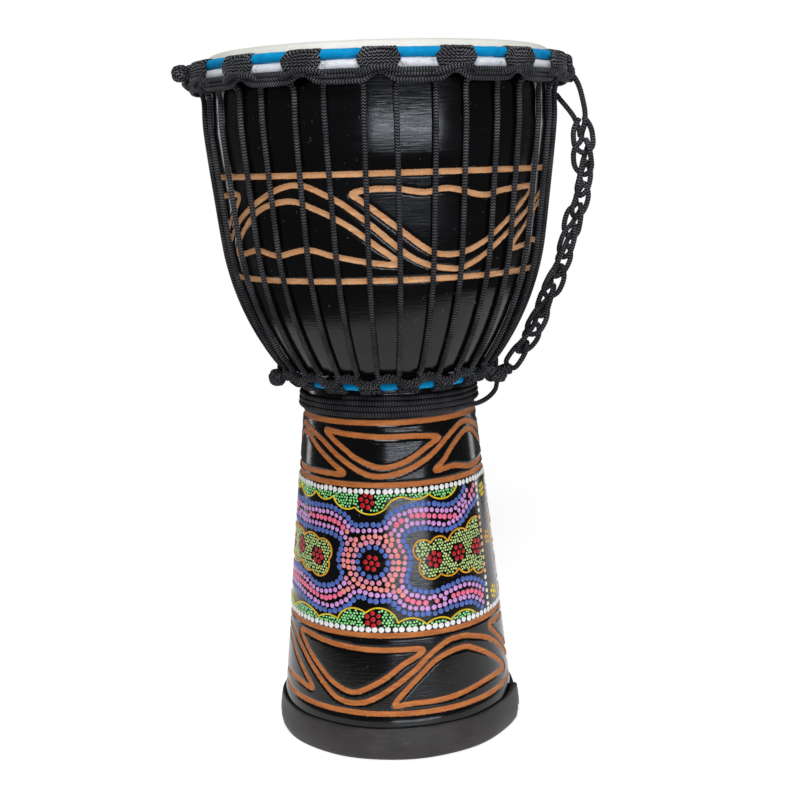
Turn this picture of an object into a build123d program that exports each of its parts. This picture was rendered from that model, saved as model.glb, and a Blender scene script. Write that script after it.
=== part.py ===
from build123d import *

import math
import os

# A rope-tuned goblet drum (djembe). Millimetres, +Z up, origin at the centre of the foot on the floor.
# Azimuths are in degrees about +Z: 0 is the front (-Y) and 90 is the side that the rope handle hangs on (+X).

# ---- driving dimensions ----
HEIGHT = 600.0
LOOP_COUNT = 17  # loops of tension rope round the bowl
CORD_DIAMETER = 4.6
CROWN_KNOT_AZIMUTH = 0.6  # the middle of one knot on the crown ring

# leg: a cone that flares to the foot
LEG_TOP_Z = 291.0
LEG_TOP_RADIUS = 77.2
LEG_FLARE = 0.1036  # growth of radius per mm down
FOOT_Z = 2.5  # underside of the wood, on the rubber

# bowl: a cone above, and one large arc that curls in to the neck
BOWL_ARC_RADIUS = 230.0
BOWL_ARC_TOP_Z = 446.0
BOWL_ARC_TOP_RADIUS = 138.2
BOWL_CONE_SLOPE = 0.115  # sine of the wall's lean above the arc
BOWL_SHELF_Z = 327.0  # underside of the bowl, over the base ring
RIM_RADIUS = 148.5
BEARING_EDGE_ROUND = 10.0
BOWL_WALL = 12.0
THROAT_RADIUS = 61.2
THROAT_Z = 303.0
FOOT_WALL = 12.0

# carved lines that run round the shell
CARVED_LINE_HEIGHTS = (40.0, 108.0, 237.0, 290.0, 415.0, 499.0)
CARVING_TOOL_RADIUS = 2.4
CARVING_TOOL_OFFSET = 1.1  # how far outside the wood the tool's centre runs

# drumhead and the rings that pull it down
SKIN_THICKNESS = 0.9
SKIN_GAP = 0.1
RING_RADIUS = 158.0
CROWN_RING_Z = 589.0
FLESH_RING_Z = 580.4
RING_WIRE_RADIUS = 3.0
RING_COVER_RADIUS = 4.3
RING_COVER_INSIDE = 3.05

# base ring under the bowl
BASE_RING_RADIUS = 83.4
BASE_RING_Z = 318.5
BASE_WIRE_RADIUS = 2.4
BASE_COVER_RADIUS = 3.6
BASE_COVER_INSIDE = 2.45

# cords wound on the rings
CROWN_HITCH_THICKNESS = 4.1
CROWN_HITCH_WIDTH = 28.0
BASE_HITCH_THICKNESS = 3.7
BASE_HITCH_WIDTH = 17.0
WRAP_GAP = 0.05
LOOP_BUNDLE_HEIGHT = 10.3
LOOP_BUNDLE_RADIUS = 159.8
LOOP_BUNDLE_Z = 570.6
LOOP_GAP_ANGLE = 0.05
BASE_LINE_RADIUS = 93.6
BASE_LINE_Z = 324.0

# tension rope
ROPE_TURN_Z = 569.5
ROPE_HALF_ANGLE = 5.6  # from the middle of a loop to each of its two runs
ROPE_SHELL_GAP = 0.4
ROPE_LEAVES_BOWL_Z = 336.0
ROPE_LAST_RUN = 7.0
ROPE_TURN_BEND = 5.5
ROPE_BASE_BEND = 4.5
ROPE_END_GAP_ANGLE = 1.0

# rope end wound round the neck
WINDING_START_Z = 294.6
WINDING_PITCH = 4.35
WINDING_CORD_DIAMETER = 4.3
WINDING_POINTS_PER_TURN = 12
WINDING_POINTS = 40
WINDING_START_AZIMUTH = 60.0
WINDING_LEAD_IN = [(98.0, -2.0, 309.5), (94.5, -8.0, 300.5), (85.5, -19.0, 295.4)]

# rubber round the foot
BAND_TOP_Z = 32.0
BAND_GAP = 0.05
BAND_TOP_THICKNESS = 2.6
BAND_LIP_RADIUS = 92.0
BAND_BULGE = [(107.6, 0.0), (109.7, 14.0)]
BAND_LAP_THICKNESS = 2.2
BAND_LAP_AZIMUTHS = (60.0, 82.0)

# rope handle, hung between two knots
TOP_TIE = (167.5, 0.0, 573.0)
TOP_TIE_RADIUS = 6.5
BOTTOM_TIE = (98.0, 0.0, 317.0)
BOTTOM_TIE_RADIUS = 9.0
CHAIN_DIAMETER = 20.0
CHAIN_ROUTE = [
    (175.5, 0.0, 541.0),
    (179.5, 0.8, 505.0),
    (171.0, -0.8, 458.0),
    (152.5, 0.6, 405.0),
    (130.5, -0.5, 353.0),
    (108.5, 0.0, 323.0),
]
OUTER_STRAND = [(172.5, 0.0, 566.5), (177.0, -1.0, 554.5), (178.0, -1.5, 540.5)]
INNER_STRAND = [(163.8, 0.0, 559.5), (168.6, 1.0, 549.5), (171.0, 2.0, 540.5)]
STRAND_DIAMETER = 4.8

# stopper knots at the rope's loose ends
END_KNOT = (-163.6, -50.0, 584.3)
END_KNOT_RADIUS = 7.5
END_KNOT_STEM = (-162.4, -30.1, 580.0)
BASE_KNOT = (-97.5, -20.0, 323.0)
BASE_KNOT_RADIUS = 8.0

# ---- worked out from them ----
LOOP_PITCH = 360.0 / LOOP_COUNT
BOWL_LEAN = math.asin(BOWL_CONE_SLOPE)
BOWL_CENTRE_RADIUS = BOWL_ARC_TOP_RADIUS - BOWL_ARC_RADIUS * math.cos(BOWL_LEAN)
BOWL_CENTRE_Z = BOWL_ARC_TOP_Z + BOWL_ARC_RADIUS * math.sin(BOWL_LEAN)


def leg_radius(z):
    """Radius of the outside of the leg's cone at height z."""
    return LEG_TOP_RADIUS + (LEG_TOP_Z - z) * LEG_FLARE


def bowl_point(lean, offset=0.0):
    """(radius, z) on the bowl's arc where the wall leans by that angle, moved out by offset."""
    reach = BOWL_ARC_RADIUS + offset
    return (BOWL_CENTRE_RADIUS + reach * math.cos(lean), BOWL_CENTRE_Z - reach * math.sin(lean))


def bowl_lean_at(z, offset=0.0):
    """The wall's lean at height z on the bowl's arc."""
    return math.asin((BOWL_CENTRE_Z - z) / (BOWL_ARC_RADIUS + offset))


def outside_radius(z):
    """Radius of the outside of the shell at height z, on the leg, the arc or the cone of the bowl."""
    if z < BOWL_SHELF_Z:
        return leg_radius(z)
    if z < BOWL_ARC_TOP_Z:
        return bowl_point(bowl_lean_at(z))[0]
    return BOWL_ARC_TOP_RADIUS + (z - BOWL_ARC_TOP_Z) * math.tan(BOWL_LEAN)


def at(azimuth, radius, z):
    """The point at that azimuth, radius and height."""
    a = math.radians(azimuth)
    return (radius * math.sin(a), -radius * math.cos(a), z)


def turned(outline):
    """A solid of revolution from an outline of lines drawn in the XZ plane."""
    return revolve(Plane.XZ * make_face(outline), Axis.Z)


def sector(face, middle_azimuth, width):
    """The part of a ring with that section that spans width degrees about an azimuth."""
    piece = revolve(Plane.XZ * face, Axis.Z, width)
    return Rot(0, 0, middle_azimuth - 90.0 - width / 2) * piece


def arc_through_lean(lean_a, lean_b, offset):
    """An arc of the bowl's circle between two leans."""
    middle = bowl_point((lean_a + lean_b) / 2, offset)
    return ThreePointArc(bowl_point(lean_a, offset), middle, bowl_point(lean_b, offset))


def shell():
    """The goblet: one hollow piece of wood, open through the foot, with lines carved round it."""
    shelf_lean = bowl_lean_at(BOWL_SHELF_Z)
    neck = (leg_radius(BOWL_SHELF_Z), BOWL_SHELF_Z)
    cone_top = (RIM_RADIUS, BOWL_ARC_TOP_Z + (RIM_RADIUS - BOWL_ARC_TOP_RADIUS) / math.tan(BOWL_LEAN))
    round_z = HEIGHT - SKIN_THICKNESS - SKIN_GAP - BEARING_EDGE_ROUND
    round_centre = (RIM_RADIUS - BEARING_EDGE_ROUND, round_z)
    crest = (round_centre[0], round_z + BEARING_EDGE_ROUND)
    round_middle = (
        round_centre[0] + BEARING_EDGE_ROUND * math.cos(math.radians(45)),
        round_z + BEARING_EDGE_ROUND * math.sin(math.radians(45)),
    )
    inner_rim = (crest[0] - 7.0, crest[1] - 9.0)
    throat_lean = math.acos((THROAT_RADIUS + 0.8 - BOWL_CENTRE_RADIUS) / (BOWL_ARC_RADIUS - BOWL_WALL))
    inside_top = bowl_point(BOWL_LEAN, -BOWL_WALL)
    inside_throat = bowl_point(throat_lean, -BOWL_WALL)
    foot_outer = (leg_radius(FOOT_Z), FOOT_Z)
    foot_inner = (foot_outer[0] - FOOT_WALL, FOOT_Z)
    outline = (
        Line(foot_outer, neck)
        + Line(neck, bowl_point(shelf_lean))
        + arc_through_lean(shelf_lean, BOWL_LEAN, 0.0)
        + Line(bowl_point(BOWL_LEAN), cone_top)
        + Line(cone_top, (RIM_RADIUS, round_z))
        + ThreePointArc((RIM_RADIUS, round_z), round_middle, crest)
        + Line(crest, inner_rim)
        + Line(inner_rim, inside_top)
        + arc_through_lean(BOWL_LEAN, throat_lean, -BOWL_WALL)
        + Line(inside_throat, (THROAT_RADIUS, THROAT_Z))
        + Line((THROAT_RADIUS, THROAT_Z), foot_inner)
        + Line(foot_inner, foot_outer)
    )
    solid = turned(outline)
    for z in CARVED_LINE_HEIGHTS:
        tool = Torus(outside_radius(z) + CARVING_TOOL_OFFSET, CARVING_TOOL_RADIUS)
        solid -= Pos(0, 0, z) * tool
    return solid


def foot_band():
    """The rubber round the foot: a side wall, a lip folded under the wood, and a lapped end."""
    inner_top = (leg_radius(BAND_TOP_Z) + BAND_GAP, BAND_TOP_Z)
    inner_low = (leg_radius(FOOT_Z) + BAND_GAP, FOOT_Z)
    outer_top = (inner_top[0] + BAND_TOP_THICKNESS, BAND_TOP_Z)
    low, bulge = BAND_BULGE
    outline = (
        Polyline(outer_top, inner_top, inner_low, (BAND_LIP_RADIUS, FOOT_Z), (BAND_LIP_RADIUS, 0), low)
        + ThreePointArc(low, bulge, outer_top)
    )
    lap_low = (low[0] + BAND_LAP_THICKNESS, low[1])
    lap_bulge = (bulge[0] + BAND_LAP_THICKNESS, bulge[1])
    lap_top = (outer_top[0] + BAND_LAP_THICKNESS, BAND_TOP_Z - 1.0)
    lap_outline = (
        ThreePointArc(lap_low, lap_bulge, lap_top)
        + Polyline(lap_top, (inner_top[0] + 1.0, lap_top[1]), (inner_low[0] + 0.3, 0), lap_low)
    )
    start, end = BAND_LAP_AZIMUTHS
    lap = sector(make_face(lap_outline), (start + end) / 2, end - start)
    return turned(outline) + lap


def drumhead():
    """The skin: a disc over the bearing edge, a collar down the rim, and a roll round the flesh ring."""
    outer = BEARING_EDGE_ROUND + SKIN_GAP + SKIN_THICKNESS
    inner = BEARING_EDGE_ROUND + SKIN_GAP
    edge_radius = RIM_RADIUS - BEARING_EDGE_ROUND
    edge_z = HEIGHT - outer
    diagonal = math.cos(math.radians(45))
    collar_z = FLESH_RING_Z + RING_COVER_RADIUS
    roll_join = (RING_RADIUS - RING_COVER_RADIUS + 0.4, FLESH_RING_Z)
    outline = (
        Line((0, HEIGHT), (edge_radius, HEIGHT))
        + ThreePointArc(
            (edge_radius, HEIGHT),
            (edge_radius + outer * diagonal, edge_z + outer * diagonal),
            (edge_radius + outer, edge_z),
        )
        + Polyline(
            (edge_radius + outer, edge_z),
            (edge_radius + outer, collar_z - 1.0),
            (roll_join[0], roll_join[1] + 1.4),
            (roll_join[0], roll_join[1] - 0.2),
            (edge_radius + inner, collar_z - 2.2),
            (edge_radius + inner, edge_z),
        )
        + ThreePointArc(
            (edge_radius + inner, edge_z),
            (edge_radius + inner * diagonal, edge_z + inner * diagonal),
            (edge_radius, edge_z + inner),
        )
        + Polyline((edge_radius, edge_z + inner), (0, edge_z + inner), (0, HEIGHT))
    )
    roll = Circle(RING_COVER_RADIUS) - Circle(RING_COVER_INSIDE)
    section = make_face(outline) + Pos(RING_RADIUS, FLESH_RING_Z) * roll
    return revolve(Plane.XZ * section, Axis.Z)


def wire_ring(radius, wire_radius, z):
    """A ring of round steel wire."""
    return Pos(0, 0, z) * Torus(radius, wire_radius)


def cloth_cover(radius, outside, inside, z):
    """The cloth wound round a ring, as a tube of its thickness."""
    section = Pos(radius, z) * (Circle(outside) - Circle(inside))
    return revolve(Plane.XZ * section, Axis.Z)


def crown_hitches():
    """The cord wound over both top rings: up the outside, over the crown ring and down behind it."""
    spacing = CROWN_RING_Z - FLESH_RING_Z
    inside = RING_COVER_RADIUS + WRAP_GAP
    outside = inside + CROWN_HITCH_THICKNESS
    middle_z = (CROWN_RING_Z + FLESH_RING_Z) / 2
    ring = SlotCenterToCenter(spacing, 2 * outside) - SlotCenterToCenter(spacing, 2 * inside)
    opening_width = outside - inside + 0.4
    opening_height = spacing / 2 + outside
    opening = Pos(
        RING_RADIUS - outside + opening_width / 2 - 0.2,
        middle_z - opening_height / 2,
    ) * Rectangle(opening_width, opening_height)
    section = Pos(RING_RADIUS, middle_z) * Rot(0, 0, 90) * ring - opening
    width = math.degrees(CROWN_HITCH_WIDTH / (RING_RADIUS + outside))
    return [sector(section, CROWN_KNOT_AZIMUTH + i * LOOP_PITCH, width) for i in range(LOOP_COUNT)]


def crown_loops():
    """The bundles of cord that hang under the rings from knot to knot and carry the tension rope."""
    section = Pos(LOOP_BUNDLE_RADIUS, LOOP_BUNDLE_Z) * Rot(0, 0, 90) * SlotOverall(
        LOOP_BUNDLE_HEIGHT, CORD_DIAMETER
    )
    knot_width = math.degrees(CROWN_HITCH_WIDTH / (RING_RADIUS + RING_COVER_RADIUS + CROWN_HITCH_THICKNESS))
    width = LOOP_PITCH - knot_width - 2 * LOOP_GAP_ANGLE
    middle = CROWN_KNOT_AZIMUTH + LOOP_PITCH / 2
    return [sector(section, middle + i * LOOP_PITCH, width) for i in range(LOOP_COUNT)]


def base_hitches():
    """The cord wound round the base ring, between the gaps where its cloth shows."""
    inside = BASE_COVER_RADIUS + WRAP_GAP
    outside = inside + BASE_HITCH_THICKNESS
    section = Pos(BASE_RING_RADIUS, BASE_RING_Z) * (Circle(outside) - Circle(inside))
    width = math.degrees(BASE_HITCH_WIDTH / (BASE_RING_RADIUS + outside))
    middle = CROWN_KNOT_AZIMUTH + LOOP_PITCH / 2
    return [sector(section, middle + i * LOOP_PITCH, width) for i in range(LOOP_COUNT)]


def base_loops():
    """The short cords above the base ring, from hitch to hitch, that the tension rope turns round."""
    section = Pos(BASE_LINE_RADIUS, BASE_LINE_Z) * Circle(CORD_DIAMETER / 2)
    width = LOOP_PITCH - 2 * LOOP_GAP_ANGLE
    return [sector(section, CROWN_KNOT_AZIMUTH + i * LOOP_PITCH, width) for i in range(LOOP_COUNT)]


def rope_run():
    """(radius, z) at the top, the bend over the bowl and the bottom of one run of tension rope."""
    offset = CORD_DIAMETER / 2 + ROPE_SHELL_GAP
    top_lean, low_lean = BOWL_LEAN, bowl_lean_at(ROPE_LEAVES_BOWL_Z, offset)
    bend_radius = BOWL_ARC_RADIUS + offset
    start = bowl_point(top_lean, offset)
    end = bowl_point(low_lean, offset)
    reach = bend_radius * math.tan((low_lean - top_lean) / 2)
    bend = (start[0] - reach * math.sin(top_lean), start[1] - reach * math.cos(top_lean))
    top = (start[0] + (ROPE_TURN_Z - start[1]) * math.tan(top_lean), ROPE_TURN_Z)
    bottom = (end[0] - ROPE_LAST_RUN * math.sin(low_lean), end[1] - ROPE_LAST_RUN * math.cos(low_lean))
    return top, bend, bottom, bend_radius


def round_cord(points, radii, diameter, name):
    """A round cord along straight runs joined by tangent arcs. It prints its length and its volume's error."""
    wire = Wire(FilletPolyline(*points, radius=list(radii)).edges())
    section = Plane(origin=wire @ 0, z_dir=wire % 0) * Circle(diameter / 2)
    solid = sweep(section, path=wire)
    expected = wire.length * math.pi * diameter**2 / 4
    error = 100 * (solid.volume / expected - 1)
    print(f"{name}: length {wire.length:.0f} mm, smallest bend {min(radii):.1f} mm, volume error {error:.2f} %")
    return solid


def natural_radii(points):
    """The largest bend that the two runs at each inner point leave room for."""
    radii = []
    for before, here, after in zip(points, points[1:], points[2:]):
        arriving = Vector(here) - Vector(before)
        leaving = Vector(after) - Vector(here)
        half_turn = math.radians(arriving.get_angle(leaving)) / 2
        radii.append(0.45 * min(arriving.length, leaving.length) / math.tan(half_turn))
    return radii


def tension_rope():
    """One rope that zigzags between the crown loops and the base loops, all the way round the bowl."""
    top, bend, bottom, bend_radius = rope_run()
    points, radii = [], []
    first_middle = CROWN_KNOT_AZIMUTH + LOOP_PITCH / 2
    for i in range(LOOP_COUNT):
        middle = first_middle + i * LOOP_PITCH
        up, down = middle - ROPE_HALF_ANGLE, middle + ROPE_HALF_ANGLE
        points += [at(up, *bottom), at(up, *bend), at(up, *top)]
        points += [at(down, *top), at(down, *bend), at(down, *bottom)]
        radii += [ROPE_BASE_BEND, bend_radius, ROPE_TURN_BEND]
        radii += [ROPE_TURN_BEND, bend_radius, ROPE_BASE_BEND]
    low_half = LOOP_PITCH / 2 - ROPE_END_GAP_ANGLE
    lead_in = at(first_middle - low_half, *bottom)
    lead_out = at(first_middle + (LOOP_COUNT - 1) * LOOP_PITCH + low_half, *bottom)
    return round_cord([lead_in] + points + [lead_out], radii, CORD_DIAMETER, "tension_rope")


def neck_winding():
    """The rope's spare end: down from the lower handle knot and three times round the neck."""
    step = 360.0 / WINDING_POINTS_PER_TURN
    points = list(WINDING_LEAD_IN)
    for i in range(WINDING_POINTS):
        z = WINDING_START_Z + i * WINDING_PITCH / WINDING_POINTS_PER_TURN
        radius = leg_radius(z - WINDING_CORD_DIAMETER / 2) + WINDING_CORD_DIAMETER / 2 + ROPE_SHELL_GAP
        corner = radius / math.cos(math.radians(step / 2))
        points.append(at(WINDING_START_AZIMUTH - i * step, corner, z))
    return round_cord(points, natural_radii(points), WINDING_CORD_DIAMETER, "neck_winding")


def ball(centre, radius):
    """A tight knot, as the ball that it fills."""
    return Pos(*centre) * Sphere(radius)


def end_knot():
    """The stopper knot that sticks out beside the crown, with its short stem from the nearest hitch."""
    direction = Vector(END_KNOT) - Vector(END_KNOT_STEM)
    section = Plane(origin=END_KNOT_STEM, z_dir=direction) * Circle(CORD_DIAMETER / 2)
    return ball(END_KNOT, END_KNOT_RADIUS) + extrude(section, direction.length)


def base_knot():
    """The knot that closes the cord of the base ring: two tight lumps side by side."""
    second = (BASE_KNOT[0] + 1.5, BASE_KNOT[1] - 9.0, BASE_KNOT[2] + 1.0)
    return ball(BASE_KNOT, BASE_KNOT_RADIUS) + ball(second, BASE_KNOT_RADIUS - 1.5)


def handle_cord(points, diameter, name):
    """A piece of the rope handle, along its hanging line."""
    return round_cord(points, natural_radii(points), diameter, name)


def write(name, shape):
    """Writes one node: a solid, or a list of solids as a group."""
    solids = []
    for item in shape if isinstance(shape, list) else [shape]:
        solids += item.solids()
    node = solids[0] if len(solids) == 1 else Compound(children=solids)
    node.label = name
    export_step(node, f"parts/{name}.step")


def main():
    os.makedirs("parts", exist_ok=True)
    write("shell", shell())
    write("foot_band", foot_band())
    write("drumhead", drumhead())
    write("flesh_ring", wire_ring(RING_RADIUS, RING_WIRE_RADIUS, FLESH_RING_Z))
    write("crown_ring", wire_ring(RING_RADIUS, RING_WIRE_RADIUS, CROWN_RING_Z))
    write("crown_ring_cloth", cloth_cover(RING_RADIUS, RING_COVER_RADIUS, RING_COVER_INSIDE, CROWN_RING_Z))
    write("crown_hitches", crown_hitches())
    write("crown_loops", crown_loops())
    write("base_ring", wire_ring(BASE_RING_RADIUS, BASE_WIRE_RADIUS, BASE_RING_Z))
    write("base_ring_cloth", cloth_cover(BASE_RING_RADIUS, BASE_COVER_RADIUS, BASE_COVER_INSIDE, BASE_RING_Z))
    write("base_hitches", base_hitches())
    write("base_loops", base_loops())
    write("tension_rope", tension_rope())
    write("neck_winding", neck_winding())
    write("rope_end_knot", end_knot())
    write("base_ring_knot", base_knot())
    write("handle_top_knot", ball(TOP_TIE, TOP_TIE_RADIUS))
    write("handle_bottom_knot", ball(BOTTOM_TIE, BOTTOM_TIE_RADIUS))
    write("handle_chain", handle_cord(CHAIN_ROUTE, CHAIN_DIAMETER, "handle_chain"))
    write("handle_outer_strand", handle_cord(OUTER_STRAND, STRAND_DIAMETER, "handle_outer_strand"))
    write("handle_inner_strand", handle_cord(INNER_STRAND, STRAND_DIAMETER, "handle_inner_strand"))


main()
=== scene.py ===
import math

import bpy
import numpy as np
from mathutils import Matrix, Vector
from mathutils.kdtree import KDTree


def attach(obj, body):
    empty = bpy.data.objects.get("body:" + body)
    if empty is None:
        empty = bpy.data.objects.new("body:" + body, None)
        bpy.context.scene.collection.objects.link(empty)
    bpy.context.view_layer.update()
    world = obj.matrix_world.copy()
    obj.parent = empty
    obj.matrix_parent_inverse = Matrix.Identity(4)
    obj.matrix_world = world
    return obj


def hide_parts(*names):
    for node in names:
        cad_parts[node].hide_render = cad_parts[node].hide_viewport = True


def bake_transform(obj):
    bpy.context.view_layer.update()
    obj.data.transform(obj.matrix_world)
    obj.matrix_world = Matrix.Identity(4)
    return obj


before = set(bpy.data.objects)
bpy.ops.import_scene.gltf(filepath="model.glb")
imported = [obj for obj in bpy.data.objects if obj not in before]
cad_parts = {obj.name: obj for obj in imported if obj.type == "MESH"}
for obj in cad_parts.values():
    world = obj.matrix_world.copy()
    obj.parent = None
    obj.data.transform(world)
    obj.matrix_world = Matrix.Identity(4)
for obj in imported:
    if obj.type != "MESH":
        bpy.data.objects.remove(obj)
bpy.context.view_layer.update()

# A rope-tuned goblet drum (djembe), dressed around its CAD frame. Shapes are worked out in millimetres and
# become metres where a mesh is made. Azimuths are in degrees about +Z: 0 is the front (-Y) and 90 is the
# handle's side (+X).

MM = 0.001
chance = np.random.default_rng(17)

# ---- the shell's outside ----
LEG_TOP_Z, LEG_TOP_RADIUS, LEG_FLARE = 291.0, 77.2, 0.1036
FOOT_Z, SHELF_Z = 2.5, 327.0
BOWL_ARC_RADIUS, BOWL_CENTRE_RADIUS, BOWL_CENTRE_Z = 230.0, -90.28, 472.45
BOWL_ARC_TOP_Z, BOWL_ARC_TOP_RADIUS, BOWL_CONE_FLARE = 446.0, 138.2, 0.1158
RIM_RADIUS, RIM_ROUND, RIM_ROUND_Z = 148.5, 10.0, 589.0
EDGE_RADIUS = RIM_RADIUS - RIM_ROUND
WALL = 12.0
INSIDE_TOP = ((131.5, 590.0), (131.5, 570.0))
INSIDE_LEG = ((61.2, 303.0), (70.0, 225.0), (79.0, 145.0), (87.5, 65.0), (95.1, FOOT_Z))
SHELL_COLUMNS = 480

# ---- carving ----
GROOVE_HALF_WIDTH, GROOVE_EDGE, GROOVE_DEPTH = 2.5, 0.15, 1.3
CARVED_RING_HEIGHTS = (40.0, 108.0, 237.0, 290.0, 415.0, 499.0)
CARVED_SPANS = ((36.5, 112.0, 1.45), (233.5, 294.0, 1.45), (411.0, 503.5, 1.55))  # lowest, highest, step
FAR = 9.0  # the distance to a carved line is told up to this

# ---- rings and cords ----
LOOP_COUNT = 17
LOOP_PITCH = 360.0 / LOOP_COUNT
KNOT_AZIMUTHS = [0.6 + i * LOOP_PITCH for i in range(LOOP_COUNT)]
GAP_AZIMUTHS = [knot + LOOP_PITCH / 2 for knot in KNOT_AZIMUTHS]
CORD, BRAID_STEP = 4.6, 1.15
RING_RADIUS, CROWN_RING_Z, FLESH_RING_Z, COVER_RADIUS = 158.0, 589.0, 580.4, 4.3
BASE_RING_RADIUS, BASE_CORDS_Z, BASE_COVER_RADIUS = 83.4, 322.4, 3.6
BASE_WIRE = 4.8


def leg_radius(z):
    """Radius of the outside of the leg at height z."""
    return LEG_TOP_RADIUS + (LEG_TOP_Z - z) * LEG_FLARE


def bowl_radius(z, offset=0.0):
    """Radius of the outside of the bowl at height z, or of the surface that far outside it."""
    reach = BOWL_ARC_RADIUS + offset
    on_arc = BOWL_CENTRE_RADIUS + np.sqrt(reach**2 - np.minimum(z - BOWL_CENTRE_Z, 0.0) ** 2)
    on_cone = BOWL_ARC_TOP_RADIUS + offset + (z - BOWL_ARC_TOP_Z) * BOWL_CONE_FLARE
    return np.where(z < BOWL_ARC_TOP_Z, on_arc, np.minimum(on_cone, RIM_RADIUS + offset))


def outside_radius(z):
    """Radius of the outside of the shell at height z."""
    return np.where(np.asarray(z) < SHELF_Z, leg_radius(z), bowl_radius(np.asarray(z, float)))


def bearing_edge(degrees, gap=0.0):
    """(radius, height) round the bearing edge, from 0 degrees outside to 90 on top, a gap off the wood."""
    reach = RIM_ROUND + gap
    turn = np.radians(degrees)
    return [(EDGE_RADIUS + reach * math.cos(a), RIM_ROUND_Z + reach * math.sin(a)) for a in turn]


def at(azimuth, radius, z):
    """Points at those azimuths, radii and heights."""
    a = np.radians(azimuth)
    return np.stack(np.broadcast_arrays(radius * np.sin(a), -radius * np.cos(a), z), axis=-1)


# ---- lines ----
def through(points, closed=False, per_span=14):
    """A smooth line through the given points."""
    p = np.asarray(points, float)
    if closed:
        q = np.vstack([p[-1:], p, p[:2]])
    else:
        q = np.vstack([2 * p[:1] - p[1:2], p, 2 * p[-1:] - p[-2:-1]])
    a, b, c, d = (q[i : len(q) - 3 + i, None, :] for i in range(4))
    t = np.linspace(0, 1, per_span, endpoint=False)[None, :, None]
    line = b + (c - a) * t / 2 + (a - 2.5 * b + 2 * c - d / 2) * t**2 + (1.5 * (b - c) + (d - a) / 2) * t**3
    line = line.reshape(-1, p.shape[1])
    return line if closed else np.vstack([line, p[-1:]])


def evenly(line, step, closed=False):
    """The same line with points at an even step. A closed line gets an even number of them."""
    loop = np.vstack([line, line[:1]]) if closed else line
    along = np.concatenate([[0.0], np.cumsum(np.linalg.norm(np.diff(loop, axis=0), axis=1))])
    count = max(2, round(along[-1] / step / 2) * 2)
    wanted = np.linspace(0, along[-1], count + 1)
    even = np.stack([np.interp(wanted, along, loop[:, k]) for k in range(loop.shape[1])], axis=-1)
    return even[:-1] if closed else even


def cross_directions(line, closed=False):
    """Two unit directions across the line at each of its points, which don't twist along it."""
    tangent = np.roll(line, -1, 0) - np.roll(line, 1, 0) if closed else np.gradient(line, axis=0)
    tangent /= np.linalg.norm(tangent, axis=1, keepdims=True)
    across = np.cross(tangent[0], (0.0, 0.0, 1.0))
    if across @ across < 0.01:
        across = np.cross(tangent[0], (1.0, 0.0, 0.0))
    side = np.empty_like(line)
    for i, direction in enumerate(tangent):
        across = across - direction * (across @ direction)
        across /= math.sqrt(across @ across)
        side[i] = across
    other = np.cross(tangent, side)
    if closed:
        carried = across - tangent[0] * (across @ tangent[0])
        gap = math.atan2(carried @ other[0], carried @ side[0])
        turn = -gap * np.arange(len(line))[:, None] / len(line)
        side, other = side * np.cos(turn) + other * np.sin(turn), other * np.cos(turn) - side * np.sin(turn)
    return side, other


# ---- meshes ----
def quads_between(index):
    """The faces between neighbouring rings of point numbers, each ring closed round."""
    wrapped = np.concatenate([index, index[..., :1]], axis=-1)
    low, high = wrapped[..., :-1, :], wrapped[..., 1:, :]
    return np.stack([low[..., :-1], low[..., 1:], high[..., 1:], high[..., :-1]], axis=-1)


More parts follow.
